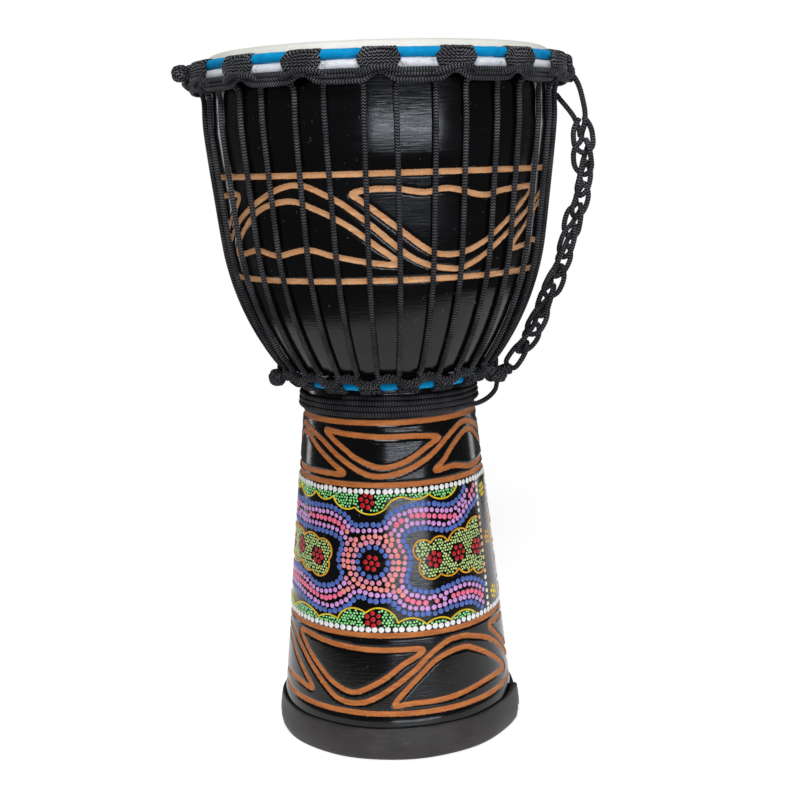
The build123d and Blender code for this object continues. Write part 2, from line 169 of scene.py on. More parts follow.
class Sculpt:
    """Collects points and faces for one piece. relief is a number for each point, for its material."""

    def __init__(self):
        self.points, self.faces, self.relief = [], [], []
        self.count = 0

    def add(self, points, faces, relief=None):
        """More points, and faces that count from the first of them."""
        points = points.reshape(-1, 3)
        self.points.append(points)
        self.faces += [f + self.count for f in faces]
        self.relief.append(np.zeros(len(points)) if relief is None else relief.ravel())
        self.count += len(points)

    def grid(self, points, relief=None, closed=False, ridged=False):
        """Rings of points as a tube, which closed joins end to end. ridged turns the diagonal of every other
        column of faces, so that a chequer of raised points joins up into zigzag ridges round the tube."""
        rings, sides = points.shape[:2]
        index = np.arange(rings * sides).reshape(rings, sides)
        quads = quads_between(np.vstack([index, index[:1]]) if closed else index)
        if ridged:
            quads[:, 1::2] = np.roll(quads[:, 1::2], 1, axis=-1)
        faces = [quads.reshape(-1, 4)]
        if not closed:
            faces += [index[:1, ::-1], index[-1:]]
        self.add(points, faces, relief)

    def tube(self, line, radius, sides=12, closed=False, relief=None):
        """A tube round a line. radius is one number, or one per point and side. Relief makes it ridged."""
        side, other = cross_directions(line, closed)
        turn = np.arange(sides) * 2 * math.pi / sides
        ring = side[:, None] * np.cos(turn)[:, None] + other[:, None] * np.sin(turn)[:, None]
        radius = np.broadcast_to(radius, (len(line), sides))
        self.grid(line[:, None] + ring * radius[..., None], relief, closed, ridged=relief is not None)

    def braid(self, points, diameter=CORD, closed=False, per_span=14):
        """A braided cord through some points, whose strands stand out as zigzag ridges."""
        line = evenly(through(points, closed, per_span), BRAID_STEP, closed)
        crest = (np.arange(len(line))[:, None] + np.arange(8)) % 2
        self.tube(line, diameter / 2 * (0.9 + 0.11 * crest), 8, closed, crest.astype(float))

    def piece(self, name, material, body="drum", replaces=()):
        """The mesh as a named piece that rides on a body."""
        points = np.concatenate(self.points) * MM
        corners = np.concatenate([f.ravel() for f in self.faces])
        sizes = np.concatenate([np.full(len(f), f.shape[1]) for f in self.faces])
        mesh = bpy.data.meshes.new(name)
        mesh.vertices.add(len(points))
        mesh.vertices.foreach_set("co", points.ravel())
        mesh.loops.add(len(corners))
        mesh.loops.foreach_set("vertex_index", corners)
        mesh.polygons.add(len(sizes))
        mesh.polygons.foreach_set("loop_start", np.concatenate([[0], np.cumsum(sizes)[:-1]]))
        mesh.update(calc_edges=True)
        relief = mesh.attributes.new("relief", "FLOAT", "POINT")
        relief.data.foreach_set("value", np.concatenate(self.relief))
        mesh.shade_smooth()
        mesh.materials.append(material)
        made = bpy.data.objects.new(name, mesh)
        bpy.context.scene.collection.objects.link(made)
        if body:
            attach(made, body)
        if replaces:
            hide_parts(*replaces)
        return made


# ---- materials ----
def linear(colour):
    """The scene's own values for a colour given as #RRGGBB."""
    parts = [int(colour[i : i + 2], 16) / 255 for i in (1, 3, 5)]
    return [*(c / 12.92 if c < 0.04045 else ((c + 0.055) / 1.055) ** 2.4 for c in parts), 1.0]


class Finish:
    """A node material on one Principled shader, built a node at a time."""

    def __init__(self, name):
        self.material = bpy.data.materials.new(name)
        self.material.use_nodes = True
        self.tree = self.material.node_tree

    def set(self, node, values):
        """Give a node's inputs their values. A socket is linked to its input."""
        for key, value in values.items():
            if isinstance(value, bpy.types.NodeSocket):
                self.tree.links.new(value, node.inputs[key])
            else:
                node.inputs[key].default_value = value

    def node(self, kind, inputs, output=0, **settings):
        """One output of a new shader node with these inputs and settings."""
        node = self.tree.nodes.new("ShaderNode" + kind)
        for key, value in settings.items():
            setattr(node, key, value)
        self.set(node, inputs)
        return node.outputs[output]

    def place(self, stretch=(1, 1, 1)):
        """Places on the piece in metres, stretched along each axis."""
        coordinates = self.node("TexCoord", {}, 3)
        return self.node("Mapping", {"Vector": coordinates, "Scale": stretch})

    def noise(self, scale, stretch=(1, 1, 1), detail=4.0, rough=0.55):
        """Noise over the piece. It is finer with a larger scale, and along an axis with a larger stretch."""
        inputs = {"Vector": self.place(stretch), "Scale": scale, "Detail": detail, "Roughness": rough}
        return self.node("TexNoise", inputs)

    def relief(self):
        """The number that each point of the piece was given."""
        return self.node("Attribute", {}, 2, attribute_name="relief")

    def height(self):
        """The height above the floor in metres."""
        return self.node("SeparateXYZ", {0: self.place()}, 2)

    def span(self, value, low, high, to_low=0.0, to_high=1.0):
        """value from low..high to to_low..to_high, held at both ends."""
        inputs = {"Value": value, "From Min": low, "From Max": high, "To Min": to_low, "To Max": to_high}
        return self.node("MapRange", inputs)

    def math(self, operation, a, b):
        """What a Math node makes of two values."""
        return self.node("Math", {0: a, 1: b}, operation=operation)

    def times(self, a, b):
        """The product of two values."""
        return self.math("MULTIPLY", a, b)

    def mix(self, share, a, b):
        """A colour between a and b, each #RRGGBB or a socket."""
        a, b = (linear(c) if isinstance(c, str) else c for c in (a, b))
        return self.node("Mix", {0: share, 6: a, 7: b}, 2, data_type="RGBA")

    def bump(self, height, distance, strength=1.0, under=None):
        inputs = {"Height": height, "Distance": distance, "Strength": strength}
        if under is not None:
            inputs["Normal"] = under
        return self.node("Bump", inputs)

    def done(self, **inputs):
        """The finished material, with the shader's inputs given as sockets or constants."""
        self.set(self.tree.nodes["Principled BSDF"], {key.replace("_", " "): inputs[key] for key in inputs})
        return self.material


def shell_finish():
    """Black lacquer with fine turning lines and specks, and bare wood where it's carved away."""
    f = Finish("lacquered_wood")
    edge = f.math("ADD", f.relief(), f.span(f.noise(900, detail=2), 0.3, 0.7, -0.3, 0.3))
    wood = f.span(edge, GROOVE_HALF_WIDTH - 0.35, GROOVE_HALF_WIDTH - 0.05, 1.0, 0.0)
    fibre = f.span(f.noise(60, (1, 1, 7)), 0.3, 0.7)
    leg_wood, bowl_wood = f.mix(fibre, "#A65A26", "#CC7D40"), f.mix(fibre, "#CF8F5C", "#ECB685")
    bare = f.mix(f.span(f.height(), 0.3, 0.34), leg_wood, bowl_wood)
    bare = f.mix(f.span(f.noise(420, (1, 1, 2.5), 3), 0.56, 0.74, 0.0, 0.45), bare, "#7A4420")
    speck = f.span(f.noise(310, detail=1), 0.735, 0.76)
    patchy = f.mix(f.span(f.noise(16, (1, 1, 2)), 0.35, 0.7), "#040405", "#0B0B0D")
    lacquer = f.mix(f.times(speck, 0.3), patchy, "#6A6A68")
    turning = f.noise(50, (1, 1, 16), 2, 0.6)
    brushed = f.span(f.noise(9, (1, 1, 3)), 0.4, 0.65)
    rough = f.math("ADD", f.span(turning, 0.3, 0.7, 0.1, 0.2), f.times(brushed, 0.06))
    rough = f.math("MAXIMUM", rough, f.times(wood, 0.62))
    fine = f.bump(turning, 0.00012, 0.6)
    grain = f.bump(f.times(f.noise(700, (1, 1, 3)), wood), 0.0005, 0.6, fine)
    colour = f.mix(wood, lacquer, bare)
    return f.done(Base_Color=colour, Roughness=rough, Normal=grain, Specular_IOR_Level=0.32)


def cord_finish():
    """Black braided polyester: raised strands are painted paler than the gaps as a painted highlight, and
    are shinier. The painted highlight is dimmer lower down, as painted shade.
    """
    f = Finish("black_cord")
    fuzz = f.noise(2600, detail=2)
    # painted highlight: raised strands get a pale colour that stands in for the light they catch
    raised = f.span(f.relief(), 0.45, 0.9)
    crest = f.times(raised, f.span(fuzz, 0.3, 0.7, 0.6, 1.0))
    # random patches of brighter and dimmer painted highlight on the crests
    patchy = f.span(f.noise(55), 0.4, 0.7)
    # painted shade: the painted highlight on the crests dims lower down, away from the head
    crest = f.times(crest, f.span(f.height(), 0.34, 0.57, 0.5, 1.0))
    return f.done(
        Base_Color=f.mix(crest, "#020203", f.mix(patchy, "#67676D", "#9A9AA0")),
        Roughness=f.span(crest, 0.0, 1.0, 0.75, 0.38),
        Normal=f.bump(fuzz, 0.0002, 0.5),
        Specular_IOR_Level=0.16,
    )


def skin_finish():
    """Bleached goat skin: warm white with cloudy patches, hair pores and a faint grain."""
    f = Finish("goat_skin")
    cloud = f.mix(f.span(f.noise(11), 0.35, 0.7), "#FAF8F1", "#EFECE1")
    fibre = f.span(f.noise(120, (1, 2.5, 1)), 0.5, 0.75)
    tone = f.mix(f.times(fibre, 0.35), cloud, "#D8D2C2")
    pores = f.span(f.noise(850, detail=1), 0.68, 0.78, 0.0, 0.4)
    grain = f.bump(f.noise(520, detail=5), 0.00025, 0.5)
    return f.done(
        Base_Color=f.mix(pores, tone, "#B9AF9B"),
        Roughness=f.span(fibre, 0.0, 1.0, 0.46, 0.58),
        Normal=grain,
        Subsurface_Weight=0.08,
        Subsurface_Scale=0.003,
    )


def roll_finish():
    """The folded hide round the flesh ring: whiter, with grey creases painted in as painted shade, and
    darker brown patches beside the knots.
    """
    f = Finish("rolled_skin")
    tone = f.mix(f.span(f.noise(70, (1, 1, 2)), 0.35, 0.7), "#F4F5F8", "#E3E6EC")
    # darker brown patches right beside the knots
    mark = f.times(f.relief(), f.span(f.noise(240, detail=3), 0.5, 0.66))
    # painted shade: grey streaks where the rolled hide creases
    crease_shade = f.span(f.noise(160, (1, 1, 4)), 0.3, 0.42, 0.45, 0.0)
    shaded_and_marked = f.mix(mark, f.mix(crease_shade, tone, "#B4B6BC"), "#6F6552")
    return f.done(
        Base_Color=shaded_and_marked,
        Roughness=0.45,
        Normal=f.bump(f.noise(300, (1, 1, 2), 5), 0.0005, 0.6),
        Subsurface_Weight=0.05,
        Subsurface_Scale=0.002,
    )


def cloth_finish():
    """Bright blue woven cloth: a fine over-and-under weave, painted a little darker in its folds as painted
    shade.
    """
    f = Finish("blue_cloth")
    wave = {"Vector": f.place(), "Scale": 420.0, "Distortion": 0.8, "Detail": 1.0}
    weft = f.node("TexWave", wave, 1, bands_direction="Z")
    warp = f.node("TexWave", wave, 1, bands_direction="X")
    weave = f.times(weft, warp)
    fade = f.mix(f.span(f.noise(90), 0.35, 0.7), "#00A3E2", "#00B2EE")
    # painted shade: darker blue where the folds of the cloth sink in
    folded = f.mix(f.span(f.relief(), 0.0, 1.0, 0.55, 0.0), fade, "#0078B4")
    threads = f.mix(f.span(weave, 0.0, 0.5, 0.22, 0.0), folded, "#00669C")
    woven = f.bump(weave, 0.00025, 0.5)
    return f.done(Base_Color=threads, Roughness=0.7, Normal=woven, Specular_IOR_Level=0.15)


def rubber_finish():
    """Dark grey rubber strip with scuffs, dust and a pebbled grain."""
    f = Finish("foot_rubber")
    dust = f.span(f.noise(38, (1, 1, 1.6), 5), 0.45, 0.75)
    scuff = f.span(f.noise(75, (1, 1, 9), 4), 0.62, 0.72, 0.0, 0.35)
    tone = f.mix(scuff, f.mix(dust, "#2C292A", "#413C3A"), "#625B57")
    return f.done(
        Base_Color=tone,
        Roughness=f.span(dust, 0.0, 1.0, 0.5, 0.72),
        Normal=f.bump(f.noise(650, detail=4), 0.0004, 0.5),
        Specular_IOR_Level=0.35,
    )


def paint_finish(name, colour, shade):
    """A blob of glossy acrylic paint, a little thinner and darker in places."""
    f = Finish("paint_" + name)
    tone = f.mix(f.span(f.noise(240, detail=3), 0.35, 0.68), colour, shade)
    return f.done(
        Base_Color=tone,
        Roughness=f.span(f.noise(400), 0.3, 0.7, 0.26, 0.44),
        Normal=f.bump(f.noise(900, detail=3), 0.00015, 0.5),
    )


def steel_finish():
    """Drawn steel wire with faint lines and a dull film."""
    f = Finish("ring_steel")
    film = f.span(f.noise(140), 0.35, 0.7)
    return f.done(
        Base_Color=f.mix(film, "#8C8C8E", "#68686B"),
        Roughness=f.span(film, 0.0, 1.0, 0.28, 0.5),
        Normal=f.bump(f.noise(900, (1, 1, 6)), 0.0001, 0.4),
        Metallic=1.0,
    )


# ---- the carved shell ----
# Each carved band repeats three lines: a wave, an upper leaf and a lower leaf. Their points are (share of
# the way from one crest of the wave to the next, height). Hand carving makes the repeats a little unequal.
BOWL_BAND = {
    "crests": (-146.0, -31.0, 84.0),
    "wave": [
        (0.0, 491), (0.12, 482.5), (0.22, 463.5), (0.35, 433.5), (0.46, 423), (0.56, 427.5), (0.79, 466.5),
    ],
    "upper": [
        (0.19, 484), (0.25, 487), (0.32, 486.5), (0.39, 483.5), (0.46, 486), (0.57, 479.5), (0.64, 482.5),
        (0.72, 484), (0.79, 482), (0.65, 453.5), (0.58, 442), (0.52, 435.5), (0.46, 434), (0.40, 438.5),
        (0.30, 459.5), (0.22, 477),
    ],
    "lower": [
        (-0.29, 436.5), (-0.20, 458), (-0.11, 473), (0.0, 479), (0.08, 472.5), (0.17, 459.5), (0.25, 443),
        (0.315, 428.5), (0.25, 429), (0.13, 435), (0.04, 440.5), (-0.065, 435.5), (-0.15, 439.5),
        (-0.23, 436),
    ],
}
UPPER_LEG_BAND = {
    "crests": (-72.0, 58.0, 173.0),
    "wave": [
        (0.0, 283), (0.17, 273.5), (0.29, 260.5), (0.42, 247.5), (0.505, 244.5), (0.61, 248), (0.735, 258),
        (0.885, 276.5),
    ],
    "upper": [
        (0.21, 281.5), (0.325, 280), (0.51, 278), (0.68, 277.5), (0.80, 274.5),
        (0.74, 268), (0.62, 256), (0.505, 252), (0.39, 259.5), (0.33, 266.5), (0.25, 275.5),
    ],
    "lower": [
        (-0.23, 246.5), (-0.18, 254), (-0.11, 266), (-0.02, 274.5), (0.06, 274), (0.17, 263), (0.26, 253.5),
        (0.325, 245.5), (0.18, 244.5), (0.0, 243.5), (-0.12, 247.5),
    ],
}
LOWER_LEG_BAND = {
    "crests": (-86.0, 34.0, 154.0),
    "wave": [
        (0.0, 99.5), (0.06, 98), (0.2, 87.5), (0.32, 70.5), (0.4, 58), (0.46, 50), (0.54, 48), (0.63, 54),
        (0.78, 75), (0.86, 89), (0.94, 98),
    ],
    "upper": [
        (0.22, 100), (0.46, 97), (0.62, 95.5), (0.83, 94.5),
        (0.74, 82), (0.67, 71), (0.59, 61.5), (0.54, 57.5), (0.49, 58.5), (0.42, 65), (0.36, 74),
        (0.27, 87.5),
    ],
    "lower": [
        (-0.295, 47.5), (-0.24, 61.5), (-0.18, 73), (-0.12, 83), (-0.05, 88.5), (0.03, 89.5), (0.09, 85),
        (0.2, 72), (0.32, 53), (0.22, 53.5), (0.11, 53), (-0.07, 49), (-0.22, 48.5),
    ],
}
CARVED_BANDS = (BOWL_BAND, UPPER_LEG_BAND, LOWER_LEG_BAND)


def carved_lines(band):
    """The band's lines all the way round, as (azimuth, height)."""
    crests = [band["crests"][-1] - 360.0, *band["crests"], band["crests"][0] + 360.0]
    lines, wave = [], []
    for crest in (1, 2, 3):
        placed = {}
        for key in ("wave", "upper", "lower"):
            share, height = np.array(band[key]).T
            placed[key] = np.stack([np.interp(crest + share, range(5), crests), height], axis=-1)
        wave.append(placed["wave"])
        lines += [through(placed[key], closed=True) for key in ("upper", "lower")]
    whole = np.vstack(wave)
    return lines + [through(np.vstack([whole, whole[:1] + (360.0, 0.0)]))]


def carving_tree():
    """Every point of the carved pattern on the shell, ready for the nearest to be found."""
    points = []
    for band in CARVED_BANDS:
        for line in carved_lines(band):
            even = evenly(line * (1.8, 1.0), 0.35) / (1.8, 1.0)
            points.append(at(even[:, 0], outside_radius(even[:, 1]), even[:, 1]))
    points = np.vstack(points)
    tree = KDTree(len(points))
    for i, point in enumerate(points):
        tree.insert(point, i)
    tree.balance()
    return tree


def shell_profile():
    """(radius, height) round the wall: up its outside, finely where it's carved, and down its inside."""
    lower_carving, upper_carving, bowl_carving = (np.arange(*span) for span in CARVED_SPANS)
    leg = [FOOT_Z, 16, 32, *lower_carving, 120, 145, 172, 200, 225, *upper_carving, 305, 320, SHELF_Z]
    bowl = [SHELF_Z, 333, 340, 348, 357, 367, 378, 390, 402, *bowl_carving, 515, 535, 560, RIM_ROUND_Z]
    outside = [(float(leg_radius(z)), z) for z in leg]
    outside += [(float(bowl_radius(z)), z) for z in bowl]
    rim = bearing_edge(range(15, 91, 15))
    inside_heights = (535, 500, 470, 446, 420, 395, 370, 350, 335, 320, 310)
    inside_bowl = [(float(bowl_radius(z, -WALL)), z) for z in inside_heights]
    return np.array([*outside, *rim, *INSIDE_TOP, *inside_bowl, *INSIDE_LEG]), len(outside)


def make_shell():
    """The turned goblet with its rings and patterns carved in, as one closed wall."""
    profile, outside_count = shell_profile()
    azimuths = np.arange(SHELL_COLUMNS) * 360.0 / SHELL_COLUMNS
    radius = np.repeat(profile[:, :1], SHELL_COLUMNS, 1)
    height = np.repeat(profile[:, 1:], SHELL_COLUMNS, 1)
    tree = carving_tree()
    from_line = np.full(radius.shape, FAR)
    for row in range(outside_count):
        z = profile[row, 1]
        from_line[row] = min(FAR, *(abs(z - ring) for ring in CARVED_RING_HEIGHTS))
        if any(low <= z < high for low, high, _ in CARVED_SPANS):
            points = at(azimuths, profile[row, 0], z)
            from_line[row] = np.minimum(from_line[row], [tree.find(p)[2] for p in points])
    cut = np.sqrt(np.clip(1 - (from_line / (GROOVE_HALF_WIDTH + GROOVE_EDGE)) ** 2, 0, 1))
    sculpt = Sculpt()
    sculpt.grid(at(azimuths[None], radius - GROOVE_DEPTH * cut, height), from_line, closed=True)
    sculpt.piece("carved_shell", shell_finish(), replaces=["shell"])


# ---- the dot painting on the leg ----
# Points of the painting are (degrees from the panel's middle, height from the band's middle in mm).
PAINT_MIDDLE_Z = 172.0
PAINT_MM_PER_DEGREE = 1.57
PANEL_AZIMUTHS = (-12.6, 167.4)
ROW_GAP, WOBBLE = 4.9, 0.22  # mm between two rows, and how far a dot strays
HUB = (1.0, -1.0)
UPPER_ROW = [
    (-81, 45), (-66, 43), (-46, 42.7), (-33, 44), (-24, 43.3), (-15, 38.4), (-9.5, 31), (-1, 31.6), (6, 32),
    (11, 39.5), (18, 45), (27, 47.7), (38, 46), (49, 43.5), (56, 47.7), (61.5, 55),
]
LOWER_ROW = [
    (-81, -42), (-68, -39), (-54, -39.5), (-42, -43.5), (-28, -47.2), (-19, -44.5), (-12, -38), (-7, -31),
    (0, -33.8), (7, -34), (11, -34.5), (16, -42.3), (23, -46.2), (34, -47.2), (46, -44.8), (56, -45),
    (61, -48), (66, -54),
]
LEFT_ROW = [
    (-81, 21), (-66, 22.5), (-46, 22), (-32, 22.2), (-22, 20.5), (-17, 14.5), (-19, 5), (-19, -4),
    (-17, -14), (-21, -21.5), (-29, -25.6), (-37, -24.8), (-44, -20), (-54, -18.3), (-70, -20), (-81, -23),
]
RIGHT_ROW = [
    (72, 40.6), (65, 34.9), (58, 27.8), (51, 23.7), (44, 22.3), (36, 25.1), (28, 27), (22, 25.3), (18.5, 18),
    (22, 7), (22, -3), (20, -14), (20.5, -22), (27, -27), (34, -28.8), (43, -26.3), (52, -23.8), (60, -25.3),
    (66, -29.4), (71, -35),
]
PINK_ROWS = [
    [(-14, 24.6), (-20, 30.5), (-28, 33.5), (-40, 33), (-55, 35), (-70, 34), (-81, 34.5)],
    [(15, 31), (20, 37), (27, 38.2), (37, 36.2), (50, 32.7), (57, 36), (64, 43), (71, 53.5)],
    [(-13, -25), (-20, -32.3), (-28, -36), (-37, -34), (-47, -30), (-60, -28.5), (-81, -32)],
    [(15, -24.9), (19, -32), (25, -37), (36, -37), (48, -35.9), (57, -35.7), (64, -39.5), (70, -48)],
]
# Scalloped outlines: (degrees, height) where two scallops meet, and how far the scallop after it bulges
TOP_FIELD = [
    (-82, 57, -6), (-71, 56, -6), (-59, 57, -8), (-38.5, 55.5, -5), (-24, 54, -5.5), (-9.5, 46, -5.5),
    (9, 45.5, 3), (20, 54.5, -3), (35, 55.3, -7), (55, 58, 0),
]
BOTTOM_FIELD = [
    (-82, -56, 5), (-71, -54, 5), (-58, -55, 7.5), (-32, -54, 3), (-19, -52, 7), (-3, -44.5, 8.5),
    (14, -53, 5), (29, -56, 4), (43, -55.5, 5.5), (60, -56, 0),
]
LEFT_MEDALLION = [
    (-79, 8, 5), (-66, 14, 4.5), (-49, 13.2, 4.2), (-34, 13.7, 9), (-26, -2.3, 9.5), (-39, -14.5, 4),
    (-51, -9.5, 4), (-66, -10, 5), (-79, -6, 5),
]
RIGHT_MEDALLION = [
    (72, -22, 4), (62, -16.5, 4), (51, -13, 4), (39, -14.2, 10.5), (28, -0.5, 12), (34, 13.2, 5.5),
    (45, 12, 5.5), (59, 18.2, 4), (71.5, 25.5, 0),
]
RED_FLOWERS = [
    (0.5, -1.5), (-2, 51.5), (1, -50), (-35, -1), (-53, 3), (-70, 1), (36, -1.2), (52, 0.5), (67.5, 0.5),
]
STRIP_FLOWERS = {"yellow": [(83, 46.4), (82, -46.7)], "orange": [(82.5, 3.4)]}
PAINTS = {
    "white": ("#F6F6F2", "#E2E2DE"),
    "blue": ("#5470C6", "#46609F"),
    "lilac": ("#DBA2E0", "#C78BCF"),
    "pink": ("#F9789C", "#EE6388"),
    "rose": ("#E493A9", "#D67F99"),
    "salmon": ("#F79A92", "#EC837C"),
    "red": ("#CE0614", "#A3040F"),
    "green": ("#A2F29A", "#76DA80"),
    "lime": ("#D3EA98", "#AACD74"),
    "yellow": ("#F4D306", "#DDB404"),
    "orange": ("#F2AA04", "#DA9003"),
    "peach": ("#F3BE8C", "#E0A570"),
}


class Painting:
    """Dots and outlines of paint by colour. Places are millimetres across and up from a panel's middle."""

    def __init__(self):
        self.dots = {colour: [] for colour in PAINTS}
        self.lines = {colour: [] for colour in PAINTS}
        self.taken = []

    def dot(self, place, colour, size, room=0.0):
        """One dot, left out where it would cover an earlier one."""
        place = np.array(place, float)
        if room and any(math.hypot(*(place - other)) < room for other in self.taken):
            return
        if room:
            self.taken.append(place)
        self.dots[colour].append((place[0], place[1], size * chance.uniform(0.92, 1.06)))

    def row(self, line, tone, size=4.6, gap=5.2, room=4.0):
        """Dots along a line. tone gives each place its colour."""
        for place in evenly(line, gap):
            self.dot(place + chance.normal(0, WOBBLE, 2), tone(place), size, room)

    def flower(self, middle, colour, petals=6, reach=5.5, size=4.3):
        """A dot with a ring of dots round it."""
        turn = chance.uniform(0, 60)
        self.dot(middle, colour, size)
        for i in range(petals):
            a = math.radians(turn + 360.0 * i / petals)
            self.dot(middle + reach * np.array([math.cos(a), math.sin(a)]), colour, size)

    def fill(self, outline, colour, flowers, size=2.1, gap=2.85):
        """Small dots all over the inside of an outline, clear of its flowers."""
        low, high = outline.min(0), outline.max(0)
        for row, y in enumerate(np.arange(low[1] + 1.2, high[1] - 0.6, gap * 0.87)):
            for x in np.arange(low[0] + (row % 2) * gap / 2, high[0], gap):
                place = np.array([x, y]) + chance.normal(0, 0.3, 2)
                clear = np.hypot(*(outline - place).T).min() > 1.5
                if clear and inside(outline, place) and all(math.hypot(*(place - f)) > 8.4 for f in flowers):
                    self.dot(place, colour, size)

    def close_gaps(self, outline, tone, room=4.5):
        """Dots in every space inside an outline that has room for one. tone gives a dot's colour or None."""
        low, high = outline.min(0), outline.max(0)
        for y in np.arange(low[1], high[1], 0.8):
            for x in np.arange(low[0], high[0], 0.8):
                place = np.array([x, y])
                if inside(outline, place) and tone(place):
                    self.dot(place, tone(place), 4.3, room)


def inside(outline, place):
    """Whether a place is inside a closed outline."""
    ends = np.roll(outline, -1, 0)
    crossing = (outline[:, 1] > place[1]) != (ends[:, 1] > place[1])
    slope = (place[1] - outline[:, 1]) / np.where(crossing, ends[:, 1] - outline[:, 1], 1.0)
    cuts = crossing & (place[0] < outline[:, 0] + slope * (ends[:, 0] - outline[:, 0]))
    return cuts.sum() % 2 == 1


def in_mm(points):
    """Places on a panel in millimetres, from (degrees, height) and whatever follows them."""
    return np.array(points, float)[:, :2] * (PAINT_MM_PER_DEGREE, 1.0)


def beside(line, distance):
    """The line moved sideways by a distance, to its left."""
    direction = np.gradient(line, axis=0)
    direction /= np.linalg.norm(direction, axis=1, keepdims=True)
    return line + distance * np.stack([-direction[:, 1], direction[:, 0]], axis=-1)


def scalloped(cusps):
    """A line of arcs from cusp to cusp, each bulging to the left of its way by its own amount."""
    places = in_mm(cusps)
    line = []
    for start, end, (_, _, bulge) in zip(places, places[1:], cusps):
        chord = end - start
        half = np.hypot(*chord) / 2
        left = np.array([-chord[1], chord[0]]) / (2 * half)
        radius = (half**2 + bulge**2) / (2 * bulge)
        centre = (start + end) / 2 + left * (bulge - radius)
        side = math.copysign(1.0, bulge)
        swing = 2 * side * math.atan2(half, side * (radius - bulge))
        x, y = start - centre
        for a in -swing * np.linspace(0, 1, 12, endpoint=False):
            turned = (x * math.cos(a) - y * math.sin(a), x * math.sin(a) + y * math.cos(a))
            line.append(centre + turned)
    return np.array([*line, places[-1]])


def paint_panel(painting):
    """One panel: a hub of rings, four banded arms, scalloped fields above and below, and two medallions."""
    hub = in_mm([HUB])[0]
    flowers = in_mm(RED_FLOWERS)
    for middle in flowers:
        painting.flower(middle, "red")
    turn = np.radians(np.arange(0, 361, 5))
    for radius, colour in ((13.2, "blue"), (17.9, "rose"), (22.4, "salmon")):
        ring = hub + radius * np.stack([np.cos(turn), np.sin(turn)], axis=-1)
        painting.row(ring, lambda _: colour, gap=5.6, room=4.3)

    def reach(place):
        return math.hypot(*(place - hub))

    def arm_tone(place):
        return "rose" if reach(place) < 31 and abs(place[1]) < 20 else "lilac"

    def pink_tone(place):
        return "salmon" if reach(place) < 38 else "pink"

    def gap_tone(place):
        tones = ((17, None), (27, "salmon"), (33, "rose"), (math.inf, "lilac"))
        return next(tone for limit, tone in tones if reach(place) < limit)

    blue_rows = [through(in_mm(row)) for row in (UPPER_ROW, RIGHT_ROW, LOWER_ROW, LEFT_ROW)]
    for row, side in zip(blue_rows, (-1, -1, 1, 1)):
        painting.row(row, lambda _: "blue", size=4.9)
        painting.row(beside(row, side * ROW_GAP), arm_tone, size=4.3)
    for row in PINK_ROWS:
        painting.row(through(in_mm(row)), pink_tone, size=4.8)
    upper, right, lower, left = blue_rows
    painting.close_gaps(np.vstack([upper, right, lower[::-1], left[::-1]]), gap_tone)
    for cusps, edge in ((TOP_FIELD, 57.0), (BOTTOM_FIELD, -56.5)):
        line = scalloped(cusps)
        painting.lines["yellow"].append(line)
        closed = np.vstack([line, [(line[-1][0], edge), (line[0][0], edge)]])
        painting.fill(closed, "green", flowers)
    for cusps in (LEFT_MEDALLION, RIGHT_MEDALLION):
        line = scalloped(cusps)
        painting.lines["orange"].append(line)
        painting.fill(line, "lime", flowers)
    for across in (74.0, -84.5):
        for height in np.arange(-54, 55, 6.0):
            place = in_mm([(across + 1.3 * height / 60, height)])[0]
            painting.dot(place, "white" if abs(height) > 26 else "peach", 4.0)
    for colour, places in STRIP_FLOWERS.items():
        for middle in in_mm(places):
            painting.flower(middle, colour, size=3.9, reach=4.9)


def paint_borders(painting):
    """The rows of white dots along the two carved rings, round half of the leg."""
    for height in (59.6, -58.8):
        for across in np.linspace(-90, 90, 51, endpoint=False):
            painting.dot(in_mm([(across, height)])[0] + chance.normal(0, WOBBLE, 2), "white", 4.9)


def on_leg(across, height, panel, lift):
    """Points on the leg from places on a panel, lifted off the wood."""
    z = PAINT_MIDDLE_Z + height
    return at(panel + across / PAINT_MM_PER_DEGREE, leg_radius(z) + lift, z)


def add_domes(sculpt, dots, panel, sides):
    """Low round blobs of paint."""
    across, height, size = np.array(dots).T[:, :, None]
    turn = np.arange(sides)[None] * 2 * math.pi / sides
    rings = []
    for reach, lift in ((1.0, -0.35), (1.0, 0.1), (0.93, 0.24), (0.68, 0.4), (0.3, 0.47)):
        x = across + size / 2 * reach * np.cos(turn)
        y = height + size / 2 * reach * np.sin(turn)
        rings.append(on_leg(x, y, panel, lift * np.minimum(size / 3.2, 1.0)))
    points = np.stack(rings, axis=1)
    index = np.arange(points.shape[0] * 5 * sides).reshape(-1, 5, sides)
    sculpt.add(points, [quads_between(index).reshape(-1, 4), index[:, 0, ::-1], index[:, -1]])


def make_painting():
    """All the paint on the leg, one piece for each colour."""
    painting = Painting()
    paint_panel(painting)
    paint_borders(painting)
    for colour, (bright, shade) in PAINTS.items():
        sculpt = Sculpt()
        for panel in PANEL_AZIMUTHS:
            for small in (True, False):
                dots = [d for d in painting.dots[colour] if (d[2] < 2.5) == small]
                if dots:
                    add_domes(sculpt, dots, panel, 7 if small else 12)
            for line in painting.lines[colour]:
                even = evenly(line, 0.9)
                sculpt.tube(on_leg(even[:, 0], even[:, 1], panel, 0.05), 0.75, 8)
        sculpt.piece("paint_" + colour, paint_finish(colour, bright, shade))


# ---- skin and rings ----
HEAD_Z, SKIN_THICKNESS, SKIN_GAP = 600.0, 0.9, 0.1
RING_AZIMUTHS = np.arange(0, 360, 0.5)


